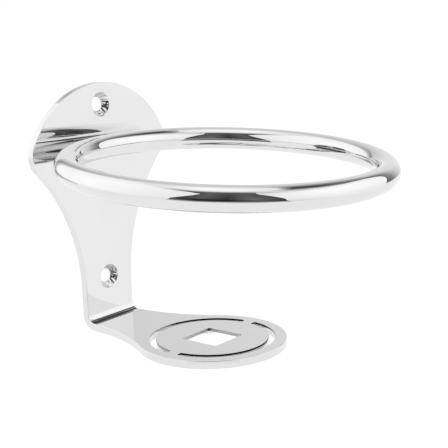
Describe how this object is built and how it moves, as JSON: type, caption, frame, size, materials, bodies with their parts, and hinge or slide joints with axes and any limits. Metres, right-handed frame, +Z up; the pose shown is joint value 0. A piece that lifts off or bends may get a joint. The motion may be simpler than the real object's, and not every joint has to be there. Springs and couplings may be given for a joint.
{
  "type": "hair dryer holder",
  "caption": "Chrome wall holder for a hair dryer: a bent plate with a keyhole-shaped back and a slotted round shelf, and a ring of round bar welded above the shelf.",
  "frame": {"origin": "on the wall plate's back face, at mid-width, at the height where the ring meets the plate", "axes": "+Y points into the wall, +Z is up, +X is to the right of a person who faces the wall"},
  "size_m": [0.125, 0.1281, 0.0981],
  "materials": {
    "plate_chrome": "polished chrome plate on flat steel",
    "bar_chrome": "polished chrome plate on round steel bar",
    "weld_chrome": "dressed and chrome-plated weld"
  },
  "bodies": {
    "root": {"wall_bracket": "plate_chrome", "dryer_ring": "bar_chrome", "ring_weld_upper": "weld_chrome", "ring_weld_lower": "weld_chrome"}
  },
  "joints": []
}
